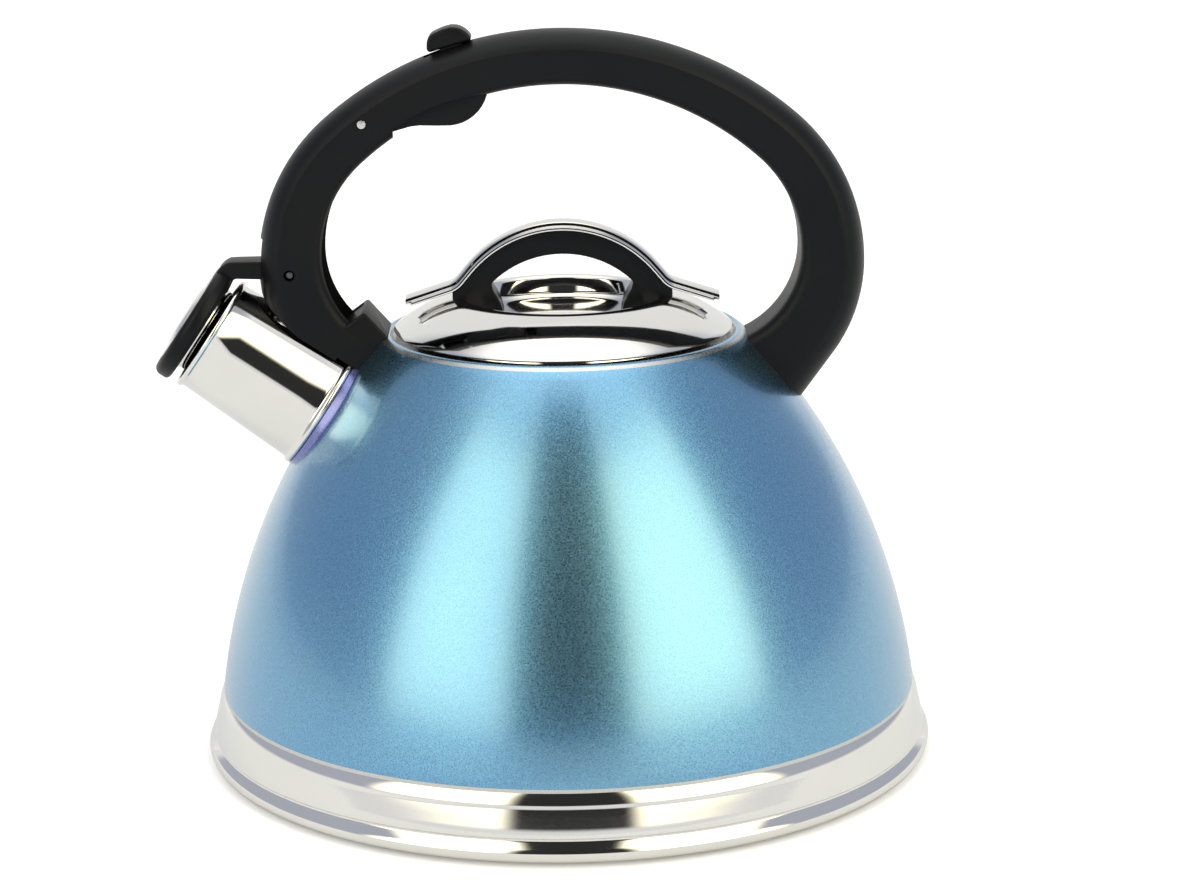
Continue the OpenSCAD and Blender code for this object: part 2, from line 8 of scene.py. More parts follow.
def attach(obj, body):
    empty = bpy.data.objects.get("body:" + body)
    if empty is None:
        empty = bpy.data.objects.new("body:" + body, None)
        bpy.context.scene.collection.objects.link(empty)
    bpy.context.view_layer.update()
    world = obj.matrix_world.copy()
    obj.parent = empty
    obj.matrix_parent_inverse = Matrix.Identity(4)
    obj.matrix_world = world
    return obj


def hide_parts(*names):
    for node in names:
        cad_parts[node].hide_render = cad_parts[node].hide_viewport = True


# Stovetop whistling kettle. Every piece is modelled in millimetres and turned to metres on the way in.
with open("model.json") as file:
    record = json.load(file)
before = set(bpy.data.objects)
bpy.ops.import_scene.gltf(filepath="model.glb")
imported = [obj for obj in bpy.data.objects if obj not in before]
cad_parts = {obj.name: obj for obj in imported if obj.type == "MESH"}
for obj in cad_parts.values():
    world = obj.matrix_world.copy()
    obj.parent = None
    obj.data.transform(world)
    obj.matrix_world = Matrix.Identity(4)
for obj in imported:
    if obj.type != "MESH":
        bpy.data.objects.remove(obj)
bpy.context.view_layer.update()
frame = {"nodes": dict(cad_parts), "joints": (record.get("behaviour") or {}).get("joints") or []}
nodes = frame["nodes"]
joints = {joint["name"]: Vector(joint["pos_m"]) * 1000 for joint in frame["joints"] if "pos_m" in joint}
mm = 0.001
through = 40  # length of a cut right across the handle
print("frame loaded")


# Outlines, as points across and up

def polar(centre, radius, angle):
    turn = math.radians(angle)
    return Vector(centre) + radius * Vector((math.cos(turn), math.sin(turn)))


def leanDirection(angle):
    return Vector((math.sin(math.radians(angle)), math.cos(math.radians(angle))))


def arc(start, end, radius, steps=8):
    # a positive radius has its centre to the left of the way from start to end
    p, q = Vector(start), Vector(end)
    way = q - p
    reach = math.sqrt(radius ** 2 - way.length_squared / 4)
    centre = (p + q) / 2 + Vector((-way.y, way.x)).normalized() * math.copysign(reach, radius)
    first = math.atan2(p.y - centre.y, p.x - centre.x)
    last = math.atan2(q.y - centre.y, q.x - centre.x)
    turn = (last - first + 3 * math.pi) % (2 * math.pi) - math.pi
    angles = [first + turn * i / steps for i in range(steps + 1)]
    return [centre + abs(radius) * Vector((math.cos(angle), math.sin(angle))) for angle in angles]


def line(start, end, steps):
    return [Vector(start).lerp(Vector(end), i / steps) for i in range(steps + 1)]


def pivot(joint):
    return Vector((joints[joint].x, joints[joint].z))


def strut(start, end, halfWidth):
    # the outline of a straight bar from start to end
    way = (end - start).normalized()
    side = Vector((-way.y, way.x)) * halfWidth
    return [start + side, end + side, end - side, start - side]


# Modelling

def toObject(name, mesh, sharpAngle=35):
    data = bpy.data.meshes.new(name)
    mesh.to_mesh(data)
    mesh.free()
    data.shade_smooth()
    data.set_sharp_from_angle(angle=math.radians(sharpAngle))
    piece = bpy.data.objects.new(name, data)
    bpy.context.scene.collection.objects.link(piece)
    return piece


def faceOutward(mesh):
    mesh.normal_update()
    bmesh.ops.recalc_face_normals(mesh, faces=mesh.faces)
    if mesh.calc_volume(signed=True) < 0:
        bmesh.ops.reverse_faces(mesh, faces=mesh.faces)


def tidyMesh(mesh):
    bmesh.ops.remove_doubles(mesh, verts=mesh.verts, dist=0.002 * mm)
    faceOutward(mesh)


def lathe(name, outline, place=None, turns=192, sharpAngle=35):
    mesh = bmesh.new()
    ring = [mesh.verts.new((p[0] * mm, 0, p[1] * mm)) for p in outline]
    closed = outline[0][0] > 0.01 and outline[-1][0] > 0.01
    pairs = list(zip(ring, ring[1:])) + ([(ring[-1], ring[0])] if closed else [])
    edges = [mesh.edges.new(pair) for pair in pairs]
    bmesh.ops.spin(
        mesh, geom=ring + edges, cent=(0, 0, 0), axis=(0, 0, 1), angle=2 * math.pi,
        steps=turns, use_merge=True, use_duplicate=False,
    )
    tidyMesh(mesh)
    if place:
        mesh.transform(place)
    return toObject(name, mesh, sharpAngle)


def roundEdges(mesh, radius, segments, limit=30):
    sharp = [e for e in mesh.edges if len(e.link_faces) == 2 and e.calc_face_angle() > math.radians(limit)]
    bmesh.ops.bevel(
        mesh, geom=sharp, offset=radius * mm, offset_type="OFFSET", affect="EDGES",
        segments=segments, profile=0.5, material=-1, clamp_overlap=True,
    )


def slab(name, outline, width, radius=0, segments=3, middle=0, sharpAngle=35):
    # an outline in the kettle's middle plane, given its width along Y
    mesh = bmesh.new()
    front = (middle - width / 2) * mm
    face = mesh.faces.new([mesh.verts.new((p[0] * mm, front, p[1] * mm)) for p in outline])
    grown = bmesh.ops.extrude_face_region(mesh, geom=[face])["geom"]
    moved = [g for g in grown if isinstance(g, bmesh.types.BMVert)]
    bmesh.ops.translate(mesh, verts=moved, vec=(0, width * mm, 0))
    tidyMesh(mesh)
    if radius:
        roundEdges(mesh, radius, segments)
    return toObject(name, mesh, sharpAngle)


def pin(name, at, radius, width, turns=48, rounding=0):
    # a pin across the kettle, in line with Y
    mesh = bmesh.new()
    across = Matrix.Translation((at[0] * mm, 0, at[1] * mm)) @ Matrix.Rotation(math.pi / 2, 4, "X")
    bmesh.ops.create_cone(
        mesh, cap_ends=True, segments=turns, radius1=radius * mm, radius2=radius * mm,
        depth=width * mm, matrix=across,
    )
    if rounding:
        roundEdges(mesh, rounding, 3, 60)
    return toObject(name, mesh)


def sweep(name, rings, sharpAngle=35):
    # each ring is a list of points in millimetres; the end cap is extruded from one ring to the next
    mesh = bmesh.new()
    order = mesh.verts.layers.int.new("order")
    start = bmesh.ops.create_circle(mesh, cap_ends=True, segments=len(rings[0]), radius=mm)
    for i, vert in enumerate(start["verts"]):
        vert[order] = i
        vert.co = rings[0][i] * mm
    mesh.faces.ensure_lookup_table()
    cap = mesh.faces[0]
    for i, ring in enumerate(rings[1:]):
        grown = bmesh.ops.extrude_face_region(mesh, geom=[cap])["geom"]
        if i:
            bmesh.ops.delete(mesh, geom=[cap], context="FACES_ONLY")
        cap = next(g for g in grown if isinstance(g, bmesh.types.BMFace))
        for vert in cap.verts:
            vert.co = ring[vert[order]] * mm
    mesh.verts.layers.int.remove(order)
    faceOutward(mesh)
    return toObject(name, mesh, sharpAngle)


def settle(piece, sharpAngle=35):
    # applies the modifiers, so that the piece is one plain mesh
    graph = bpy.context.evaluated_depsgraph_get()
    data = bpy.data.meshes.new_from_object(piece.evaluated_get(graph))
    piece.modifiers.clear()
    piece.data = data
    data.shade_smooth()
    data.set_sharp_from_angle(angle=math.radians(sharpAngle))


def combine(piece, others, operation="DIFFERENCE", sharpAngle=35):
    for other in others:
        step = piece.modifiers.new(operation.lower(), "BOOLEAN")
        step.operation = operation
        step.solver = "EXACT"
        step.object = other
    settle(piece, sharpAngle)
    for other in others:
        bpy.data.objects.remove(other)
    return piece


# Finishes

def newFinish(name):
    finish = bpy.data.materials.new(name)
    finish.use_nodes = True
    return finish, finish.node_tree, finish.node_tree.nodes["Principled BSDF"]


def grain(tree, scale, detail=2, stretch=(1, 1, 1)):
    place = tree.nodes.new("ShaderNodeTexCoord")
    mapping = tree.nodes.new("ShaderNodeMapping")
    cloud = tree.nodes.new("ShaderNodeTexNoise")
    mapping.inputs["Scale"].default_value = stretch
    cloud.inputs["Scale"].default_value = scale
    cloud.inputs["Detail"].default_value = detail
    tree.links.new(place.outputs["Object"], mapping.inputs["Vector"])
    tree.links.new(mapping.outputs["Vector"], cloud.inputs["Vector"])
    return cloud.outputs["Fac"]


def ringGrain(tree, scale, distortion):
    # turning marks around the kettle's axis
    place = tree.nodes.new("ShaderNodeTexCoord")
    wave = tree.nodes.new("ShaderNodeTexWave")
    wave.wave_type = "RINGS"
    wave.rings_direction = "Z"
    wave.inputs["Scale"].default_value = scale
    wave.inputs["Distortion"].default_value = distortion
    wave.inputs["Detail"].default_value = 3
    wave.inputs["Detail Scale"].default_value = 4
    tree.links.new(place.outputs["Object"], wave.inputs["Vector"])
    return wave.outputs["Fac"]


def scaled(tree, factor, low, high, fromLow=0.3, fromHigh=0.7):
    remap = tree.nodes.new("ShaderNodeMapRange")
    remap.inputs["From Min"].default_value = fromLow
    remap.inputs["From Max"].default_value = fromHigh
    remap.inputs["To Min"].default_value = low
    remap.inputs["To Max"].default_value = high
    tree.links.new(factor, remap.inputs["Value"])
    return remap.outputs["Result"]


def twoColours(tree, factor, dark, light, low=0.35, high=0.65):
    ramp = tree.nodes.new("ShaderNodeValToRGB")
    ramp.color_ramp.elements[0].position = low
    ramp.color_ramp.elements[0].color = (*dark, 1)
    ramp.color_ramp.elements[1].position = high
    ramp.color_ramp.elements[1].color = (*light, 1)
    tree.links.new(factor, ramp.inputs["Fac"])
    return ramp.outputs["Color"]


def multiplied(tree, first, second):
    mix = tree.nodes.new("ShaderNodeMix")
    mix.data_type = "RGBA"
    mix.blend_type = "MULTIPLY"
    mix.inputs["Factor"].default_value = 1
    tree.links.new(first, mix.inputs["A"])
    tree.links.new(second, mix.inputs["B"])
    return mix.outputs["Result"]


def relief(tree, shader, height, strength, depth):
    bump = tree.nodes.new("ShaderNodeBump")
    bump.inputs["Strength"].default_value = strength
    bump.inputs["Distance"].default_value = depth * mm
    tree.links.new(height, bump.inputs["Height"])
    tree.links.new(bump.outputs["Normal"], shader.inputs["Normal"])


def shadeColour(colour, share):
    return tuple(channel * share for channel in colour)


def feed(tree, source, shader, name):
    tree.links.new(source, shader.inputs[name])


lacquerLook = {
    "blue": (0.155, 0.370, 0.610),
    "teal": (0.175, 0.395, 0.600),
    # indigo and violet: a darker, more violet copy of the blue lacquer, painted reflection of the dark
    # handle and tube on the spout's neck
    "indigo": (0.150, 0.180, 0.470),
    "violet": (0.190, 0.200, 0.460),
    "flakeScale": 2600,
    "cloudScale": 16,
    "sparkle": (0.80, 1.2),
    "roughness": (0.24, 0.33),
    "coatWeight": 0.7,
    "coatRoughness": 0.045,
}


def lacquer(name, first, second):
    # metallic flake under a clear coat
    look = lacquerLook
    finish, tree, shader = newFinish(name)
    cloud = grain(tree, look["cloudScale"], 2)
    flake = grain(tree, look["flakeScale"], 1)
    hue = twoColours(tree, cloud, first, second)
    sparkle = twoColours(tree, flake, *[(share,) * 3 for share in look["sparkle"]], 0.3, 0.7)
    feed(tree, multiplied(tree, hue, sparkle), shader, "Base Color")
    feed(tree, scaled(tree, flake, *look["roughness"]), shader, "Roughness")
    shader.inputs["Metallic"].default_value = 1
    shader.inputs["Coat Weight"].default_value = look["coatWeight"]
    shader.inputs["Coat Roughness"].default_value = look["coatRoughness"]
    shader.inputs["Coat IOR"].default_value = 1.5
    return finish


def polishedSteel(name, tone, roughness):
    finish, tree, shader = newFinish(name)
    haze = grain(tree, 38, 4)
    fine = grain(tree, 900, 2, (1, 1, 3))
    feed(tree, twoColours(tree, haze, shadeColour(tone, 0.965), tone), shader, "Base Color")
    feed(tree, scaled(tree, fine, roughness * 0.8, roughness * 1.3), shader, "Roughness")
    shader.inputs["Metallic"].default_value = 1
    return finish


def turnedSteel(name, tone, roughness, ringScale):
    finish, tree, shader = newFinish(name)
    rings = ringGrain(tree, ringScale, 1.2)
    feed(tree, twoColours(tree, rings, shadeColour(tone, 0.86), tone, 0.1, 0.9), shader, "Base Color")
    feed(tree, scaled(tree, rings, roughness * 0.85, roughness * 1.2, 0, 1), shader, "Roughness")
    relief(tree, shader, rings, 0.25, 0.02)
    shader.inputs["Metallic"].default_value = 1
    return finish


def mouldedPlastic(name, tone, roughness, textureDepth):
    # a fine spark-eroded texture, with faint rubbed patches
    finish, tree, shader = newFinish(name)
    patches = grain(tree, 30, 3)
    fine = grain(tree, 1500, 2)
    rubbed = twoColours(tree, patches, shadeColour(tone, 0.85), shadeColour(tone, 1.15))
    feed(tree, rubbed, shader, "Base Color")
    feed(tree, scaled(tree, patches, roughness - 0.03, roughness + 0.04), shader, "Roughness")
    relief(tree, shader, fine, 0.5, textureDepth)
    shader.inputs["Specular IOR Level"].default_value = 0.18
    shader.inputs["Specular Tint"].default_value = (0.78, 0.85, 1, 1)
    return finish


def plainMetal(name, tone, roughness, stretch=(1, 1, 1)):
    # machined or drawn metal, with fine marks along its own direction
    finish, tree, shader = newFinish(name)
    marks = grain(tree, 1400, 3, stretch)
    feed(tree, twoColours(tree, marks, shadeColour(tone, 0.82), tone), shader, "Base Color")
    feed(tree, scaled(tree, marks, roughness * 0.8, roughness * 1.25), shader, "Roughness")
    relief(tree, shader, marks, 0.3, 0.01)
    shader.inputs["Metallic"].default_value = 1
    return finish


def siliconeRubber(name, tone):
    finish, tree, shader = newFinish(name)
    cloud = grain(tree, 220, 3)
    feed(tree, twoColours(tree, cloud, shadeColour(tone, 0.92), tone), shader, "Base Color")
    feed(tree, scaled(tree, cloud, 0.42, 0.55), shader, "Roughness")
    shader.inputs["Subsurface Weight"].default_value = 0.15
    shader.inputs["Subsurface Radius"].default_value = (0.001, 0.0008, 0.0006)
    return finish


finishes = {
    "blueLacquer": lacquer("blueLacquer", lacquerLook["blue"], lacquerLook["teal"]),
    # the spout's neck: the blue lacquer made darker and more violet as painted reflection of the dark
    # handle and tube
    "darkReflectionLacquer": lacquer("darkReflectionLacquer", lacquerLook["indigo"], lacquerLook["violet"]),
    "mirrorSteel": polishedSteel("mirrorSteel", (0.80, 0.795, 0.785), 0.055),
    "insideSteel": polishedSteel("insideSteel", (0.62, 0.62, 0.61), 0.28),
    "capsuleSteel": turnedSteel("capsuleSteel", (0.60, 0.60, 0.60), 0.3, 300),
    "rolledAlloy": plainMetal("rolledAlloy", (0.70, 0.71, 0.73), 0.42, (1, 6, 1)),
    "blackNylon": mouldedPlastic("blackNylon", (0.0050, 0.0050, 0.0061), 0.40, 0.035),
    "blackGrip": mouldedPlastic("blackGrip", (0.0035, 0.0035, 0.0042), 0.30, 0.02),
    "turnedBrass": plainMetal("turnedBrass", (0.76, 0.55, 0.25), 0.3, (3, 3, 1)),
    "hardwareSteel": plainMetal("hardwareSteel", (0.72, 0.72, 0.73), 0.25),
    "blackenedSteel": plainMetal("blackenedSteel", (0.13, 0.13, 0.14), 0.35),
    "springWire": plainMetal("springWire", (0.42, 0.42, 0.43), 0.3, (4, 1, 1)),
    "paleSilicone": siliconeRubber("paleSilicone", (0.72, 0.69, 0.64)),
}
print("finishes made")


def fit(piece, body, slot, finish, *replaced):
    # a piece that has its own mix of finishes comes with None
    if finish:
        piece.data.materials.clear()
        piece.data.materials.append(finishes[finish])
    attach(piece, body)
    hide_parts(*replaced)


# Base

base = {
    "beadRadius": 2.9,
    "beadCentre": (107.1, 3.9),
    "crease": (106.5, 16.2),
    "shoulderTop": (105.15, 21.3),
    "floor": 5.2,
    "sheet": 0.8,
    "capsuleRadius": 97,
}


def makeBasePan():
    crease = Vector(base["crease"])
    top = Vector(base["shoulderTop"])
    floor = base["floor"]
    outline = [
        (0, floor), (60, floor), (99, floor), *arc((101, floor - 0.2), (103.4, 2.4), -3.4, 5),
        *[polar(base["beadCentre"], base["beadRadius"], -135 + 9.5 * i) for i in range(19)],
        *arc((108.0, 7.1), (108.25, 8.4), -0.9, 4),
        *line((108.2, 8.8), crease + Vector((0.06, -0.25)), 3),
        *arc(crease + Vector((-0.03, 0.12)), top + Vector((-0.5, -0.5)), 9, 8),
        *arc(top + Vector((-0.45, -0.2)), top + Vector((-1.0, 0.1)), 0.45, 3),
        (104.2, 20.6), (104.4, 16), (105.6, 11), (105.2, 8.6), (101, floor + base["sheet"]),
        (60, floor + base["sheet"]), (0, floor + base["sheet"]),
    ]
    return lathe("basePan", outline, turns=288, sharpAngle=24)


def makeBaseCap():
    radius = base["capsuleRadius"]
    sheet = base["sheet"]
    outline = [
        (0, 0), (30, 0), (64, 0), (64.6, 0.25), (66.4, 0.25), (67, 0), (radius - 1.6, 0),
        *arc((radius - 1.3, 0), (radius, 1.3), 1.35, 5),
        (radius, base["floor"]), (radius - sheet, base["floor"]), (radius - sheet, sheet), (0, sheet),
    ]
    return lathe("baseCap", outline)


fit(makeBasePan(), "kettle", "polished_steel", "mirrorSteel", "base_pan")
fit(makeBaseCap(), "kettle", "capsule_steel", "capsuleSteel", "base_cap")
print("base made")


# Dome and spout

dome = {
    "shoulderRadius": 105,
    "lowEdge": 15,
    "bandTop": 21.4,
    "arcRadius": 190,
    "lean": 7.5,
    "neck": 43.5,
    "sheet": 0.8,
    "roll": [(53.35, 128.2), (52.9, 128.55), (52.3, 128.65), (51.7, 128.45), (51.2, 127.95)],
    "seatHeight": 127.4,
    "mouthRadius": 44,
    "mouthLow": 121.5,
    # the lacquer ends on the seat at steelReach, and inside the dome from steelInside outwards
    "steelReach": 51.6,
    "steelInside": 53.5,
}
domeCentre = (
    dome["shoulderRadius"] - dome["arcRadius"] * math.cos(math.radians(dome["lean"])),
    dome["bandTop"] - dome["arcRadius"] * math.sin(math.radians(dome["lean"])),
)
spout = {
    "root": (-71.5, 105.6),
    "rise": 34.5,
    "length": 41.5,
    "rootRadius": 19.3,
    "mouthRadius": 17.5,
    "wall": 0.7,
    "flareRadius": 28,
}
spoutPlace = (
    Matrix.Translation((spout["root"][0] * mm, 0, spout["root"][1] * mm))
    @ Matrix.Rotation(math.radians(spout["rise"] - 90), 4, "Y")
)


def domeArc(inset, low, high, steps=40):
    return [
        polar(domeCentre, dome["arcRadius"] - inset, low + (high - low) * i / steps)
        for i in range(steps + 1)
    ]


def domeBlock():
    low, roll = dome["lowEdge"], dome["roll"][:3]
    return lathe("domeBlock", [
        (0, low), (dome["shoulderRadius"], low), *domeArc(0, dome["lean"], dome["neck"]),
        *roll, (0, roll[-1][1]),
    ])


def spoutCutter(radius, low, high):
    return lathe("spoutCutter", [(0, low), (radius, low), (radius, high), (0, high)], spoutPlace, 96)


def makeDomeShell():
    sheet, seat, mouth = dome["sheet"], dome["seatHeight"], dome["mouthRadius"]
    low, mouthLow = dome["lowEdge"], dome["mouthLow"]
    outline = [
        (dome["shoulderRadius"], low), *domeArc(0, dome["lean"], dome["neck"]),
        *dome["roll"], (50.8, seat + 0.1), (50.4, seat), (mouth + 1.2, seat),
        *arc((mouth + 1, seat), (mouth, seat - 1), -1.1, 4), (mouth, mouthLow),
        (mouth + sheet, mouthLow), (mouth + sheet, seat - 1.4), (mouth + 1.4, seat - sheet),
        (51.2, seat - sheet), (52.4, 127.4),
        *reversed(domeArc(sheet, dome["lean"], dome["neck"] - 0.6)), (dome["shoulderRadius"] - sheet, low),
    ]
    shell = lathe("domeShell", outline, turns=288)
    combine(shell, [spoutCutter(spout["rootRadius"] - spout["wall"], -15, 15)])
    shell.data.materials.clear()
    shell.data.materials.append(finishes["blueLacquer"])
    shell.data.materials.append(finishes["insideSteel"])
    for face in shell.data.polygons:
        middle = face.center / mm
        reach = Vector((middle.x, middle.y)).length
        depth = dome["arcRadius"] - (Vector((reach, middle.z)) - Vector(domeCentre)).length
        inside = depth > 0.1 and middle.z > dome["bandTop"] - 5 and reach > dome["steelInside"]
        face.material_index = 1 if inside or reach < dome["steelReach"] else 0
    return shell


def makeSpoutStub():
    root, flare = spout["rootRadius"], spout["flareRadius"]
    inner = root - spout["wall"]
    outline = [
        (inner, 0.4), (inner + 1.2, 0.4), *arc((root + 0.7, 0.35), (flare, -5.6), 9, 18),
        (flare + 0.6, -9), (inner, -9),
    ]
    return combine(lathe("spoutStub", outline, spoutPlace, 144), [domeBlock()])


def makeSpoutTube():
    root, mouth, wall, length = spout["rootRadius"], spout["mouthRadius"], spout["wall"], spout["length"]
    outline = [
        (root - wall, 0.4), (root, 0.4),
        *arc((root + 0.35, 0.45), (root + 0.3, 2.3), 1.0, 8),
        *arc((root + 0.05, 2.6), (root - 0.12, 3.3), -0.9, 3),
        *line((root - 0.15, 3.6), (mouth, length - 2.4), 6),
        *arc((mouth + 0.15, length - 1.9), (mouth + 0.1, length - 0.1), 0.95, 8),
        *arc((mouth - 0.2, length), (mouth - wall - 0.3, length - 0.9), 1.2, 4),
        *line((mouth - wall - 0.05, length - 2.6), (root - wall, 3.4), 4),
    ]
    return lathe("spoutTube", outline, spoutPlace, 144)


fit(makeDomeShell(), "kettle", "blue_lacquer", None, "body_shell")
# the neck wears the darker lacquer copy, painted reflection of the dark handle and tube, though its paint
# is the dome's blue lacquer
fit(makeSpoutStub(), "kettle", "blue_lacquer", "darkReflectionLacquer", "spout_stub")
fit(makeSpoutTube(), "kettle", "polished_steel", "mirrorSteel", "spout_tube")
print("dome and spout made")


# Handle

handle = {
    "top": 217.8,
    "thickness": 15.5,
    "depth": 23,
    # radius and half angle over the top, radius at the shoulders,
    # radius and end angle down the legs, straight foot
    "outer": (107, 40.4, 58.1, 47, 126, 25),
    "inner": (87, 42.1, 36.9, 28.5, 158, 6),
    "rings": 150,
    # the section: how far the crown and the flat side reach inwards, and the width of the inner corner
    "crown": 0.34,
    "crownAngle": 78,
    "sideEnd": (0.84, 0.955),
    "cornerWidth": 0.33,
    "channel": {"from": -0.865, "to": -0.112, "width": 16.6, "roof": 2.8},
    "collar": [(-64, 132.4), (-58.5, 136.3), (-51.6, 128.5), (-50, 124), (-60, 116), (-70, 126)],
    "collarWidth": 21.4,
    "tabSlot": [(-39.4, 200), (-27.4, 200), (-27.4, 222), (-39.4, 222)],
    "tabSlotWidth": 6.6,
    "armWindow": [(-95, 145.2), (-83, 145.2), (-83, 157.6), (-95, 157.6)],
    "armWindowWidth": 10.8,
    # the side walls stand back over the trigger's pad
    "padRoom": [*arc((-48.6, 190.4), (-21.0, 200.2), -52, 10), (-20.6, 196), (-22, 184), (-48.6, 184)],
    "triggerPinRadius": 1.4,
    "triggerPinLength": 22.2,
    "triggerHoleRoom": 0.12,
    "coverPinRadius": 1.2,
    "coverPinLength": 20.6,
    "coverHoleRoom": 0.45,
    "spoutHoleRoom": 0.2,
    "spoutRootRoom": 1.1,
}


def edgePoint(top, edge, share):
    topRadius, topAngle, shoulderRadius, legRadius, legAngle, straight = edge
    lengths = [
        topRadius * math.radians(topAngle), shoulderRadius * math.radians(90 - topAngle),
        legRadius * math.radians(legAngle - 90), straight,
    ]
    run = share * sum(lengths)
    centre = Vector((0, top - topRadius))
    if run <= lengths[0]:
        return centre + topRadius * leanDirection(math.degrees(run / topRadius))
    run -= lengths[0]
    centre += (topRadius - shoulderRadius) * leanDirection(topAngle)
    if run <= lengths[1]:
        return centre + shoulderRadius * leanDirection(topAngle + math.degrees(run / shoulderRadius))
    run -= lengths[1]
    centre += (shoulderRadius - legRadius) * leanDirection(90)
    if run <= lengths[2]:
        return centre + legRadius * leanDirection(90 + math.degrees(run / legRadius))
    run -= lengths[2]
    return centre + legRadius * leanDirection(legAngle) + run * leanDirection(legAngle + 90)


def handleEdges(place):
    # place runs from -1 at the spout's foot to 1 at the other foot
    outer = edgePoint(handle["top"], handle["outer"], abs(place))
    inner = edgePoint(handle["top"] - handle["thickness"], handle["inner"], abs(place))
    if place < 0:
        outer.x, inner.x = -outer.x, -inner.x
    return outer, inner


def halfSection():
    # shares of the thickness, from the outer side inwards, and of half the depth
    crown, last = handle["crown"], math.radians(handle["crownAngle"])
    sideShare, sideWidth = handle["sideEnd"]
    corner = handle["cornerWidth"]
    turns = [last * i / 11 for i in range(11)]
    points = [
        (crown * (1 - math.cos(turn)) / (1 - math.cos(last)), math.sin(turn) / math.sin(last))
        for turn in turns
    ]
    points += [(crown - 0.02, 0.998), (crown + 0.03, 0.999)]
    points += line((crown + 0.1, 0.995), (sideShare, sideWidth), 4)
    points += [
        (sideShare + (1 - sideShare) * math.sin(math.radians(15 * i)),
         sideWidth - corner + corner * math.cos(math.radians(15 * i)))
        for i in range(1, 7)
    ]
    return points + [(1, 0.3), (1, 0)]


def makeHandleBar():
    half = halfSection()
    section = half + [(share, -width) for share, width in reversed(half[1:-1])]
    rings = []
    for i in range(handle["rings"] + 1):
        outer, inner = handleEdges(2 * i / handle["rings"] - 1)
        rings.append([
            Vector((
                outer.x + (inner.x - outer.x) * share,
                handle["depth"] / 2 * width,
                outer.y + (inner.y - outer.y) * share,
            ))
            for share, width in section
        ])
    bar = sweep("handleBar", rings)
    combine(bar, [slab("collar", handle["collar"], handle["collarWidth"], 0.7)], "UNION")

    channel = handle["channel"]
    roof, mouth = [], []
    for i in range(31):
        outer, inner = handleEdges(channel["from"] + (channel["to"] - channel["from"]) * i / 30)
        across = (outer - inner).normalized()
        roof.append(outer - channel["roof"] * across)
        mouth.append(inner - 4 * across)
    triggerHole = handle["triggerPinRadius"] + handle["triggerHoleRoom"]
    coverHole = handle["coverPinRadius"] + handle["coverHoleRoom"]
    cutters = [
        slab("channel", roof + mouth[::-1], channel["width"]),
        slab("tabSlot", handle["tabSlot"], handle["tabSlotWidth"]),
        slab("armWindow", handle["armWindow"], handle["armWindowWidth"]),
        slab("padRoom", handle["padRoom"], through),
        pin("triggerHole", pivot("trigger_squeeze"), triggerHole, through),
        pin("coverHole", pivot("cover_lift"), coverHole, through),
        domeBlock(),
        spoutCutter(spout["rootRadius"] + handle["spoutRootRoom"], 0.4, 6),
        spoutCutter(spout["rootRadius"] + handle["spoutHoleRoom"], 0.4, 44),
    ]
    return combine(bar, cutters, sharpAngle=32)


def makeTriggerPin():
    at, radius, length = pivot("trigger_squeeze"), handle["triggerPinRadius"], handle["triggerPinLength"]
    return pin("triggerPin", at, radius, length, rounding=0.25)


def makeCoverPin():
    at, radius, length = pivot("cover_lift"), handle["coverPinRadius"], handle["coverPinLength"]
    return pin("coverPin", at, radius, length, rounding=0.4)


fit(makeHandleBar(), "kettle", "black_nylon", "blackNylon", "handle")
fit(makeTriggerPin(), "kettle", "hardware_steel", "hardwareSteel", "trigger_pin")
fit(makeCoverPin(), "kettle", "dark_steel", "blackenedSteel", "cover_pin")
print("handle made")


# Trigger

trigger = {
    "width": 15.8,
    "hubRadius": 4.2,
    "pocketRadius": 4.4,
    "cheekInside": 3.6,
    "cheekOutside": 6.2,
    "eyeRadius": 2.8,
    "armHalfWidth": 2.4,
    "pad": [
        (-57.6, 187.9), (-54.1, 187.7), (-50.5, 188.6), (-46.9, 189.7), (-43.6, 190.6), (-40.9, 190.9),
        (-36, 190.75), *arc((-33.6, 190.75), (-21, 199.6), 12.2, 9), (-20.75, 201.2), (-21.6, 202.2),
        (-24, 202.4), (-35, 201.2), (-45, 197.8), (-54, 195), (-57.6, 194.2),
    ],
    "neck": [(-34.6, 198), (-28.2, 198), (-28.2, 214.4), (-34.6, 212.4)],
    "neckWidth": 6,
    "tab": [
        (-37.9, 211.6), (-31, 213.6), (-25.2, 215.1), *arc((-25.6, 216.1), (-29.6, 218.9), 6.5, 5),
        (-31.4, 219.0), (-33.7, 218.4), *arc((-36.4, 217.2), (-38.3, 214.6), 3.4, 4), (-38.4, 212.8),
    ],
    "tabWidth": 9.6,
    "boreRoom": 0.05,
}


def makeTrigger():
    hub, rodEnd = pivot("trigger_squeeze"), pivot("link_swing")
    blade = slab("triggerPaddle", trigger["pad"], trigger["width"], 1.7, 4)
    added = [
        pin("hub", hub, trigger["hubRadius"], trigger["width"], 64, 0.5),
        slab("neck", trigger["neck"], trigger["neckWidth"]),
        slab("tab", trigger["tab"], trigger["tabWidth"], 1.6, 4),
    ]
    middle = (trigger["cheekInside"] + trigger["cheekOutside"]) / 2
    cheekWidth = trigger["cheekOutside"] - trigger["cheekInside"]
    for y in (-middle, middle):
        arm = slab("arm", strut(hub, rodEnd, trigger["armHalfWidth"]), cheekWidth, 0.3, 2, middle=y)
        eye = pin("eye", rodEnd, trigger["eyeRadius"], cheekWidth)
        eye.data.transform(Matrix.Translation((0, y * mm, 0)))
        added += [arm, eye]
    combine(blade, added, "UNION")
    return combine(blade, [
        pin("springPocket", hub, trigger["pocketRadius"], 2 * trigger["cheekInside"]),
        pin("bore", hub, handle["triggerPinRadius"] + trigger["boreRoom"], through),
    ])


fit(makeTrigger(), "trigger", "black_nylon", "blackNylon", "trigger")
print("trigger made")


# Spout flap

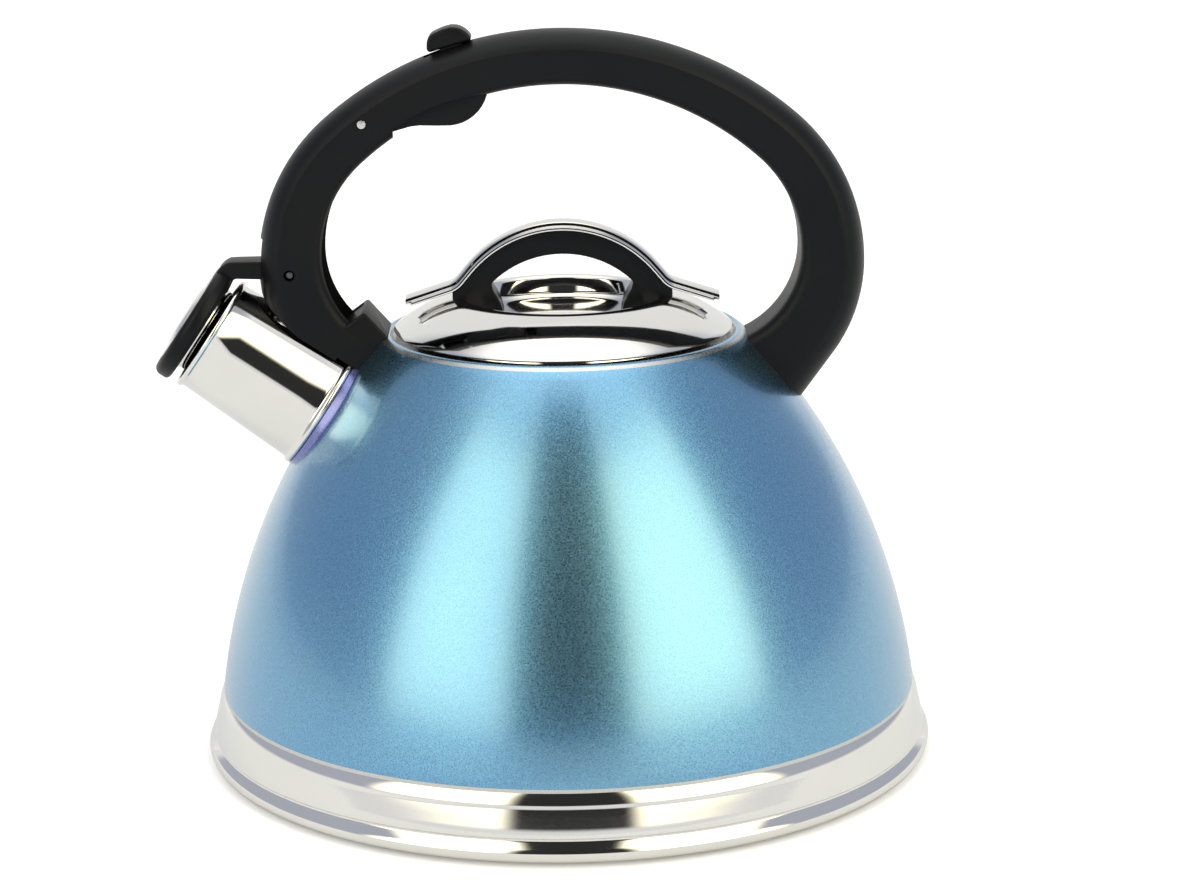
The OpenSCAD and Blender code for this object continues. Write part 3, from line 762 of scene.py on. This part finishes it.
flap = {
    "offset": 0.4,
    "gap": 2.3,
    "radius": 18.9,
    "thickness": 5.4,
    "edge": 2.4,
    "passage": 9,
    "plateRadius": 14,
    "armWidth": 10.2,
    "armTop": 150.8,
    "armBottom": 145.8,
    "armEdge": 0.7,
    "hubRadius": 3.6,
    "hubForkRadius": 4,
    "tailLength": 5.2,
    "tailAngle": 18,
    "tailHalfWidth": 2.6,
    "forkInside": 2.8,
    "plateSeat": 0.9,
    "boreRoom": 0.05,
}
flapPlace = spoutPlace @ Matrix.Translation((flap["offset"] * mm, 0, (spout["length"] + flap["gap"]) * mm))


def makeSpoutFlap():
    hub = pivot("cover_lift")
    tail = polar(hub, flap["tailLength"], flap["tailAngle"])
    radius, thick, edge, plate = flap["radius"], flap["thickness"], flap["edge"], flap["plateRadius"]
    plateFloor = thick - flap["plateSeat"]
    disc = lathe("spoutFlap", [
        (flap["passage"], 0.8), (plate, 0.8), (plate, 0), (radius - 1.8, 0),
        *arc((radius - 1.5, 0.05), (radius, 1.5), 1.5, 5),
        *arc((radius, thick - edge), (radius - edge, thick), edge, 7),
        (plate + 0.6, thick), (plate, thick - 0.3), (plate, plateFloor), (flap["passage"], plateFloor),
    ], flapPlace, 144)
    low, high, width = flap["armBottom"], flap["armTop"], flap["armWidth"]
    arm = [
        (-97.0, low), (hub.x, low - 0.6), (hub.x, high + 0.2), (-97.5, high),
        *arc((-98.6, 150.7), (-102.2, 147.4), 6.5, 6), (-103.4, 144.4), (-99.4, 141.2), (-98.2, 143.6),
    ]
    combine(disc, [
        slab("arm", arm, width, flap["armEdge"], 3),
        pin("hub", hub, flap["hubRadius"], width, 64, 0.3),
        slab("tail", strut(hub, tail, flap["tailHalfWidth"]), width, 0.3, 2),
        pin("eye", tail, flap["tailHalfWidth"], width),
    ], "UNION")
    # the fork that the rod stands in
    fork = 2 * flap["forkInside"]
    forkRoom = [tail + Vector(corner) for corner in ((-3.6, -6), (4, -6), (4, 6), (-3.6, 6))]
    return combine(disc, [
        pin("hubFork", hub, flap["hubForkRadius"], fork),
        slab("tailFork", forkRoom, fork),
        pin("bore", hub, handle["coverPinRadius"] + flap["boreRoom"], through),
    ])


def makeWhistleOuter():
    radius, low = flap["plateRadius"] - 0.05, flap["thickness"] - flap["plateSeat"]
    return lathe("whistleOuter", [
        (2, low), (radius, low), *arc((radius, low + 0.75), (radius - 0.8, low + 1.25), 0.8, 4),
        *arc((radius - 2.2, low + 1.1), (radius - 4.4, low + 1.5), -3.4, 5),
        *arc((radius - 5, low + 1.7), (2.7, low + 2.1), 60, 6), (2.25, low + 1.9), (2, low + 1.5),
    ], flapPlace, 96)


def makeWhistleInner():
    cup = spout["mouthRadius"] - spout["wall"] - 1.9
    return lathe("whistleInner", [
        (2, -2.9), (cup - 2.6, -2.9), *arc((cup - 2.2, -2.85), (cup - 1.6, -2.2), 0.8, 4),
        (cup - 1.1, 0), (13.5, 0.2), (13.5, 0.8), (cup - 2, 0.8), (cup - 2.6, -2.2), (2, -2.2),
    ], flapPlace @ Matrix.Translation((-flap["offset"] * mm, 0, 0)), 96)


fit(makeSpoutFlap(), "cover", "black_nylon", "blackNylon", "spout_cover")
fit(makeWhistleOuter(), "cover", "polished_steel", "mirrorSteel", "whistle_outer_plate")
fit(makeWhistleInner(), "cover", "polished_steel", "mirrorSteel", "whistle_inner_plate")
print("spout flap made")


# Lid

lid = {
    "radius": 50.7,
    "rimHeight": 129.2,
    "crestRadius": 30,
    "crestHeight": 139,
    "sideRadius": 48,
    "dish": 133,
    "sheet": 0.8,
    "skirtRadius": 43.4,
    "archRadius": 35,
    "archTop": 159.2,
    "archHalfAngle": 50,
    "wingSlope": 18,
    "wingFillet": 8,
    "wingReach": 46.6,
    "flangeReach": 44.6,
    "ribHalfWidth": 4.3,
    "strapWidth": 15.4,
    "gripWidth": 11.4,
    "gripInnerTop": 151.9,
    "gripInnerRadius": 30,
    "gripFoot": [
        (21.0, 143.2), (20.4, 141.2), (19.2, 139.2), (18.2, 137), (17.6, 134.6), (17.3, 130), (32, 130),
        (32.6, 139.4),
    ],
}


def lidTop():
    # from just above the rim, over the crest and down to the dish
    rim, crest, high, dish = lid["rimHeight"], lid["crestRadius"], lid["crestHeight"], lid["dish"]
    return [
        *arc((lid["radius"] - 0.8, rim + 0.75), (crest + 1.6, high - 0.15), lid["sideRadius"], 24),
        *arc((crest + 0.6, high), (crest - 1.4, high - 1), 2.4, 7),
        *arc((crest - 2, dish + 1.4), (crest - 3.6, dish), -1.7, 5),
    ]


def makeLidShell():
    rim, crest, high, dish = lid["rimHeight"], lid["crestRadius"], lid["crestHeight"], lid["dish"]
    radius, sheet = lid["radius"], lid["sheet"]
    underCrest = arc((crest + 0.5, high - sheet), (crest - 0.8, high - 1.4), 1.6, 5)
    underSide = arc((radius - 2, rim), (crest + 1.5, high - 0.15 - sheet), lid["sideRadius"], 24)
    outline = [
        *arc((radius - 1.1, rim - 0.25), (radius - 0.35, rim + 0.25), 0.7, 5), *lidTop(),
        (crest - 8, dish), (12, dish), (0, dish),
        (0, dish - sheet), (12, dish - sheet), (crest - 2.2, dish - sheet), (crest - 1.2, dish + 0.2),
        *reversed(underCrest), *reversed(underSide),
    ]
    return lathe("lidShell", outline, turns=288)


def makeLidSkirt():
    outer, sheet = lid["skirtRadius"], lid["sheet"]
    outline = [
        (outer - sheet, 120.8), (outer - 0.4, 120.5), (outer, 120.9), (outer, 124), (outer + 0.35, 124.6),
        (outer + 0.35, 125.2), (outer, 125.8), (outer, 132.5), (outer - sheet, 132.5),
    ]
    return lathe("lidSkirt", outline)


def strapPath(height):
    # from the middle of the arch to the end of a wing, raised by height
    radius, slope = lid["archRadius"], lid["archHalfAngle"]
    wing, fillet = lid["wingSlope"], lid["wingFillet"]
    centre = Vector((0, lid["archTop"] - radius))
    down = Vector((math.cos(math.radians(slope)), -math.sin(math.radians(slope))))
    flat = Vector((math.cos(math.radians(wing)), -math.sin(math.radians(wing))))
    archEnd = centre + radius * leanDirection(slope) + 4 * down
    hollow = archEnd + fillet * leanDirection(slope)
    path = [centre + (radius + height) * leanDirection(slope * i / 16) for i in range(17)]
    path.append(centre + (radius + height) * leanDirection(slope) + 2 * down)
    path += [hollow - (fillet - height) * leanDirection(slope + (wing - slope) * i / 8) for i in range(9)]
    last = path[-1]
    reach = (lid["wingReach"] - last.x) / flat.x
    return path + [last + flat * reach * i / 3 for i in range(1, 4)]


def makeLidStrap():
    # a pressed strip: a raised rib down its middle with a flat flange on each side
    half = lid["strapWidth"] / 2
    over = [
        (0, 2.35), (1.6, 2.25), (2.9, 1.95), (3.7, 1.45), (4.2, 0.95), (4.8, 0.82),
        (half - 0.35, 0.8), (half, 0.5),
    ]
    under = [(half, 0.15), (half - 0.3, 0), (4.4, 0), (3.7, 0.35), (3.1, 0.95), (2.2, 1.4), (0, 1.55)]
    right = over + under
    section = [(-y, z) for y, z in reversed(over[1:])] + right + [(-y, z) for y, z in reversed(under[:-1])]
    paths = [strapPath(height) for _, height in section]
    count = len(paths[0])
    rings = []
    for i in list(range(count - 1, 0, -1)) + list(range(count)):
        sign = -1 if len(rings) < count - 1 else 1
        ring = []
        for (y, height), path in zip(section, paths):
            point = path[i].copy()
            if i == count - 1 and abs(y) > lid["ribHalfWidth"]:
                back = (path[i - 1] - path[i]).normalized()
                point += back * (lid["wingReach"] - lid["flangeReach"])
            ring.append(Vector((sign * point.x, y, point.y)))
        rings.append(ring)
    return sweep("lidStrap", rings, 28)


def makeLidGrip():
    radius, foot = lid["gripInnerRadius"], [Vector(p) for p in lid["gripFoot"]]
    inner = Vector((0, lid["gripInnerTop"] - radius))
    half = [inner + radius * leanDirection(42 * i / 12) for i in range(13)] + foot
    top = [p for p in strapPath(0.05) if p.x < foot[-1].x]
    right = half + top[::-1]
    outline = right + [Vector((-p.x, p.y)) for p in reversed(right) if p.x > 0.01]
    grip = slab("lidGrip", outline, lid["gripWidth"], 2.2, 5)
    body = [
        (0, 120), (lid["radius"], 120), (lid["radius"] - 0.8, lid["rimHeight"] + 0.7),
        *lidTop(), (0, lid["dish"]),
    ]
    return combine(grip, [lathe("lidBlock", body, turns=144)])


fit(makeLidShell(), "lid", "polished_steel", "mirrorSteel", "lid_shell")
fit(makeLidSkirt(), "lid", "polished_steel", "mirrorSteel", "lid_skirt")
fit(makeLidStrap(), "lid", "polished_steel", "mirrorSteel", "lid_strap")
fit(makeLidGrip(), "lid", "black_grip", "blackGrip", "lid_grip")
print("lid made")


# The CAD nodes that stay

kept = {
    "heat_disc": "rolledAlloy",
    "foot_inserts": "turnedBrass",
    "handle_screws": "hardwareSteel",
    "screw_seals": "paleSilicone",
    "trigger_spring": "springWire",
    "link_pin": "hardwareSteel",
    "link_rod": "hardwareSteel",
    "tail_pin": "hardwareSteel",
    "lid_screws": "hardwareSteel",
    "lid_washers": "hardwareSteel",
}
for nodeName, finishName in kept.items():
    nodes[nodeName].data.materials.clear()
    nodes[nodeName].data.materials.append(finishes[finishName])


# Studio

studio = {
    "floorSize": 16,
    "floorTone": (0.80, 0.82, 0.88),
    "floorLift": 0.3,
    "back": (0.9, 0.9, 0.88),
    # azimuth from the front towards the right, and height, in degrees: from, to and softness
    "side": {"across": (-144, 144, 7), "light": (0.46, 0.485, 0.55)},
    "ceiling": {"above": (61, 14), "light": (1.9, 1.85, 1.7)},
    "gap": {"across": (-20, 20, 3), "below": (69, 4), "light": (0.03, 0.03, 0.03)},
    "horizon": {"below": (3, 1.5), "light": (0.85, 0.85, 0.84)},
    "leftBox": {"across": (-63, -20, 5), "up": (3, 56, 7), "light": (2.75, 2.55, 1.9)},
    "rightBox": {"across": (21, 68, 5), "up": (3, 56, 7), "light": (3.1, 2.8, 1.9)},
}


def makeFloor():
    mesh = bmesh.new()
    bmesh.ops.create_grid(mesh, x_segments=1, y_segments=1, size=studio["floorSize"] / 2)
    floor = toObject("studioFloor", mesh)
    finish, tree, shader = newFinish("studioFloor")
    shader.inputs["Base Color"].default_value = (*studio["floorTone"], 1)
    shader.inputs["Roughness"].default_value = 0.9
    shader.inputs["Specular IOR Level"].default_value = 0
    shader.inputs["Emission Color"].default_value = (1, 1, 1, 1)
    path = tree.nodes.new("ShaderNodeLightPath")
    lift = tree.nodes.new("ShaderNodeMath")
    lift.operation = "MULTIPLY"
    lift.inputs[1].default_value = studio["floorLift"]
    tree.links.new(path.outputs["Is Camera Ray"], lift.inputs[0])
    tree.links.new(lift.outputs[0], shader.inputs["Emission Strength"])
    floor.data.materials.append(finish)


def makeWorld():
    world = bpy.data.worlds.new("studio")
    bpy.context.scene.world = world
    world.use_nodes = True
    tree = world.node_tree
    links = tree.links

    def calculate(operation, *values):
        node = tree.nodes.new("ShaderNodeMath")
        node.operation = operation
        for socket, value in zip(node.inputs, values):
            if isinstance(value, (int, float)):
                socket.default_value = value
            else:
                links.new(value, socket)
        return node.outputs[0]

    def step(value, at, soft):
        node = tree.nodes.new("ShaderNodeMapRange")
        node.interpolation_type = "SMOOTHSTEP"
        node.inputs["From Min"].default_value = at - soft
        node.inputs["From Max"].default_value = at + soft
        links.new(value, node.inputs["Value"])
        return node.outputs["Result"]

    def under(value, at, soft):
        return calculate("SUBTRACT", 1, step(value, at, soft))

    def window(value, low, high, soft):
        return calculate("MULTIPLY", step(value, low, soft), under(value, high, soft))

    def layer(below, mask, light):
        node = tree.nodes.new("ShaderNodeMix")
        node.data_type = "RGBA"
        links.new(mask, node.inputs["Factor"])
        links.new(below, node.inputs["A"])
        node.inputs["B"].default_value = (*light, 1)
        return node.outputs["Result"]

    place = tree.nodes.new("ShaderNodeTexCoord")
    split = tree.nodes.new("ShaderNodeSeparateXYZ")
    links.new(place.outputs["Generated"], split.inputs[0])
    x, y, z = split.outputs
    azimuth = calculate("DEGREES", calculate("ARCTAN2", x, calculate("MULTIPLY", y, -1)))
    rise = calculate("DEGREES", calculate("ARCSINE", z))

    back = tree.nodes.new("ShaderNodeRGB")
    back.outputs[0].default_value = (*studio["back"], 1)
    side, ceiling, gap, horizon = (studio[part] for part in ("side", "ceiling", "gap", "horizon"))
    light = layer(back.outputs[0], window(azimuth, *side["across"]), side["light"])
    light = layer(light, step(rise, *ceiling["above"]), ceiling["light"])
    gapMask = calculate("MULTIPLY", window(azimuth, *gap["across"]), under(rise, *gap["below"]))
    light = layer(light, gapMask, gap["light"])
    for box in (studio["leftBox"], studio["rightBox"]):
        mask = calculate("MULTIPLY", window(azimuth, *box["across"]), window(rise, *box["up"]))
        light = layer(light, mask, box["light"])
    light = layer(light, under(rise, *horizon["below"]), horizon["light"])
    # the camera itself sees plain white
    path = tree.nodes.new("ShaderNodeLightPath")
    light = layer(light, path.outputs["Is Camera Ray"], (1, 1, 1))
    links.new(light, tree.nodes["Background"].inputs["Color"])


view = {
    "yaw": 0.50,
    "pitch": 14.09,
    "roll": -0.80,
    "lens": 93.78,
    "place": (0, -0.9, 0.3187),
}


def makeCamera():
    yaw, pitch, roll = (math.radians(view[turn]) for turn in ("yaw", "pitch", "roll"))
    forward = Vector((math.sin(yaw) * math.cos(pitch), math.cos(yaw) * math.cos(pitch), -math.sin(pitch)))
    level = Vector((math.cos(yaw), -math.sin(yaw), 0))
    upright = level.cross(forward)
    right = math.cos(roll) * level + math.sin(roll) * upright
    up = -math.sin(roll) * level + math.cos(roll) * upright
    data = bpy.data.cameras.new("camera")
    data.lens = view["lens"]
    data.sensor_width = 36
    data.clip_end = 50
    camera = bpy.data.objects.new("camera", data)
    bpy.context.scene.collection.objects.link(camera)
    facing = Matrix((right, up, -forward)).transposed().to_4x4()
    camera.matrix_world = Matrix.Translation(view["place"]) @ facing
    bpy.context.scene.camera = camera


makeFloor()
makeWorld()
makeCamera()
bpy.context.scene.view_settings.view_transform = "Standard"
print("studio made")
